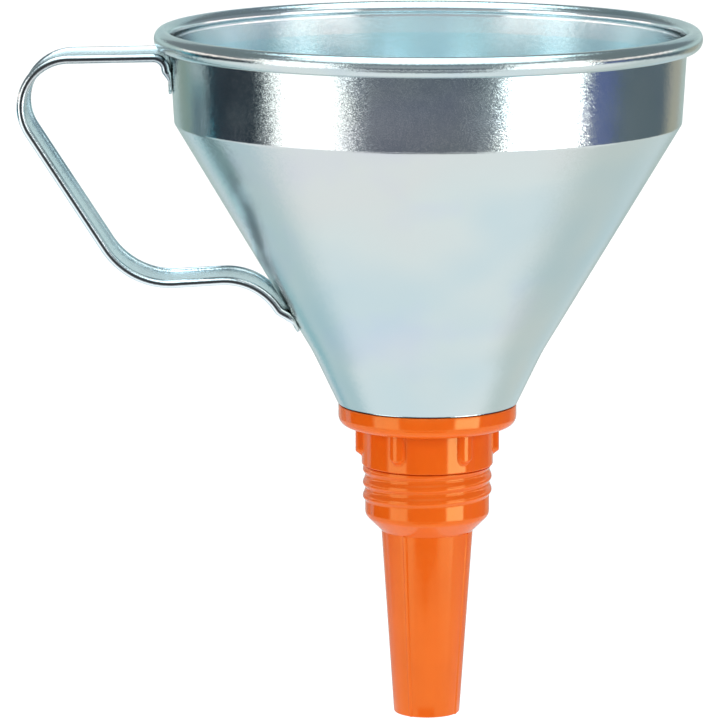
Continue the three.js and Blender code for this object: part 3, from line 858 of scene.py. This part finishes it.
# The studio that reflections see, painted in this order. Each patch is (from, to) in degrees of
# azimuth from the camera's side, positive to the right, then (low, high) in degrees of elevation,
# the width of its soft edge in degrees, and its light.
ALL_ROUND = (-180, 180)
FRONT = (-31, 27)
DARK_ROOM = (0.21, 0.25, 0.27)
PATCHES = [
    (ALL_ROUND, (-95, -17), 4, (1.02, 1.04, 1.06)),          # table
    ((100, 215), (-58, -17), 30, (0.74, 0.79, 0.78)),        # its far corners
    ((-215, -105), (-52, -17), 26, (0.62, 0.76, 0.80)),
    ((-157, -140), (-31, -23), 6, (0.34, 0.58, 0.64)),
    (ALL_ROUND, (58, 95), 10, (2.3, 2.9, 3.1)),              # overhead soft box
    ((-70, 70), (38, 95), 20, (2.0, 2.3, 2.4)),
    ((-152, -118), (-15, -3), 3, (0.30, 0.38, 0.34)),        # left rear
    ((-131, -117), (-16, -3), 3, (0.08, 0.72, 0.95)),
    ((-118, -77), (-16, -3), 4, (0.02, 0.03, 0.045)),        # left gap
    ((76, 138), (-16, -3), 4, (0.13, 0.17, 0.20)),           # right gap
    ((76, 92), (-16, -3), 4, (0.12, 0.16, 0.36)),
    ((136, 156), (-16, -3), 5, (0.46, 0.45, 0.37)),
    ((156, 210), (-16, -3), 6, (0.52, 0.62, 0.60)),          # rear wall
    ((150, 210), (5, 30), 8, (0.50, 0.62, 0.64)),            # grey wall above it
    ((118, 242), (-2, 9), 4, (0.56, 0.71, 0.71)),            # sky-blue rear
    ((-73, -37), (-19, 22), 7, (2.0, 2.0, 2.0)),             # left soft box
    ((35, 71), (-19, 22), 6, (2.0, 2.0, 2.0)),               # right soft box
    ((37, 70), (-17, -4), 5, (4.2, 4.2, 4.2)),
    ((36, 76), (3, 8.5), 3, (1.35, 1.22, 1.16)),             # walls beside the object
    ((76, 122), (3, 8.5), 3, (2.10, 1.75, 1.65)),
    ((-76, -38), (3, 8.5), 3, (1.35, 1.22, 1.16)),
    ((-122, -76), (3, 8.5), 3, (2.10, 1.75, 1.65)),
    (FRONT, (-25, -20), 2, (1.10, 1.10, 1.10)),              # table edge in front
    (FRONT, (-48, -25), 3, (0.28, 0.30, 0.33)),
]
# The dark side where the camera stands is painted last, a little paler higher up.
FRONT_BELOW = (0.14, 0.155, 0.19)
FRONT_ABOVE = (0.42, 0.44, 0.47)
FRONT_FOOT, FRONT_FOOT_HEIGHT, FRONT_MIDDLE = -20.8, 0.9, -6


def soft_range(value, low, high, edge):
    """1 between low and high, 0 outside them, with a soft edge at each."""
    rise = smooth(low - edge / 2, low + edge / 2, value)
    return rise * smooth(high + edge / 2, high - edge / 2, value)


def mix(first, second, share):
    """A colour that is share of the way from the first to the second."""
    return tuple(a + (b - a) * share for a, b in zip(first, second))


def front_share(azimuth, elevation):
    """How much of the light from a direction is the dark front; its foot narrows to a point."""
    width = min((elevation - FRONT_FOOT) / FRONT_FOOT_HEIGHT, 1.0)
    if width <= 0:
        return 0.0
    left, right = (FRONT_MIDDLE + (side - FRONT_MIDDLE) * width for side in FRONT)
    turned = (azimuth + 180) % 360 - 180
    return soft_range(turned, left, right, 9 * width + 0.1) * smooth(24, 12, elevation)


def studio_light(azimuth, elevation):
    """Light that arrives from a direction, in degrees."""
    light = DARK_ROOM
    for (left, right), (low, high), edge, colour in PATCHES:
        turned = (azimuth - left + 60) % 360 + left - 60  # counted from 60 degrees before the patch
        across = 1.0 if (left, right) == ALL_ROUND else soft_range(turned, left, right, edge)
        light = mix(light, colour, across * soft_range(elevation, low, high, edge))
    front = mix(FRONT_BELOW, FRONT_ABOVE, smooth(-9, -3, elevation))
    return mix(light, front, front_share(azimuth, elevation))


def make_reflections():
    """A shell seen only in glossy reflections: soft boxes, dark gaps, table and walls."""
    fine_rows = {round(-23 + 0.1 * i, 1) for i in range(60)}  # where the front's foot is painted
    elevations = sorted(set(range(-90, 91)) | fine_rows)
    azimuths = range(360)
    verts, colours = [], []
    for elevation in elevations:
        e = math.radians(elevation)
        across, z = SHELL_RADIUS * math.cos(e), SHELL_RADIUS * math.sin(e)
        for azimuth in azimuths:
            a = math.radians(azimuth - 90)
            verts.append((across * math.cos(a), across * math.sin(a), z))
            colours += [*studio_light(azimuth, elevation), 1.0]
    material, nodes, links, colour = glowing("studio_walls")
    light = nodes.new("ShaderNodeVertexColor")
    light.layer_name = "light"
    links.new(light.outputs["Color"], colour)
    faces = ring_faces(len(elevations), len(azimuths))
    shell = stage_object("studio_walls", verts, faces, material)
    painted = shell.data.color_attributes.new("light", "FLOAT_COLOR", "POINT")
    painted.data.foreach_set("color", colours)
    seen_only_by(shell, glossy=True)


def make_light(name, place, size, energy):
    """A square lamp aimed at the bowl, which lights without showing in reflections."""
    data = bpy.data.lights.new(name, "AREA")
    data.shape = "SQUARE"
    data.size = size
    data.energy = energy
    lamp = bpy.data.objects.new(name, data)
    lamp.location = place
    aim = Vector((0, 0, 0.08)) - Vector(place)
    lamp.rotation_euler = aim.to_track_quat("-Z", "Y").to_euler()
    bpy.context.scene.collection.objects.link(lamp)
    lamp.visible_camera = False
    lamp.visible_glossy = False


def make_sun():
    """A very wide, soft overhead light that keeps the whole floor white."""
    data = bpy.data.lights.new("overhead", "SUN")
    data.energy = 2.2
    data.angle = math.radians(60)
    lamp = bpy.data.objects.new("overhead", data)
    bpy.context.scene.collection.objects.link(lamp)
    lamp.visible_glossy = False


def make_world():
    """Even white light from all round, which reflections don't see."""
    world = bpy.data.worlds.new("studio")
    world.use_nodes = True
    background = world.node_tree.nodes["Background"]
    background.inputs["Color"].default_value = (1.0, 1.0, 1.0, 1.0)
    background.inputs["Strength"].default_value = 0.5
    world.cycles_visibility.glossy = False
    bpy.context.scene.world = world


def make_camera():
    """The photograph's view: from a little above the rim, looking about ten degrees down along +Y."""
    data = bpy.data.cameras.new("camera")
    data.sensor_width = 36.0
    data.lens = 249.0
    data.clip_end = 100.0
    camera = bpy.data.objects.new("camera", data)
    camera.location = (0.0, -1.8092, RIM_Z * MM + 0.1963)
    camera.rotation_euler = (math.radians(90 - 9.897), 0.0, math.radians(0.788))
    bpy.context.scene.collection.objects.link(camera)
    bpy.context.scene.camera = camera


# ---- assembly ----

zinc = zinc_steel("zinc_plated_steel")
orange = orange_plastic("orange_polypropylene")
rubber = black_rubber("nitrile_rubber")
steel = plain_steel("strainer_steel")
brass = brass_wire("brass_wire")

make_bowl(zinc)
make_handle(zinc)
make_spout(orange)
make_clamp_ring(orange)
make_seal(rubber)
make_strainer_ring(steel)
make_gauze(brass)
make_loop(steel)

make_floor()
make_backdrop()
make_reflections()
make_light("left_soft_box", (-1.5, -1.1, 0.75), 0.7, 9.0)
make_light("right_soft_box", (1.5, -1.1, 0.75), 0.7, 12.0)
make_sun()
make_world()
make_camera()
bpy.context.scene.view_settings.view_transform = "Standard"
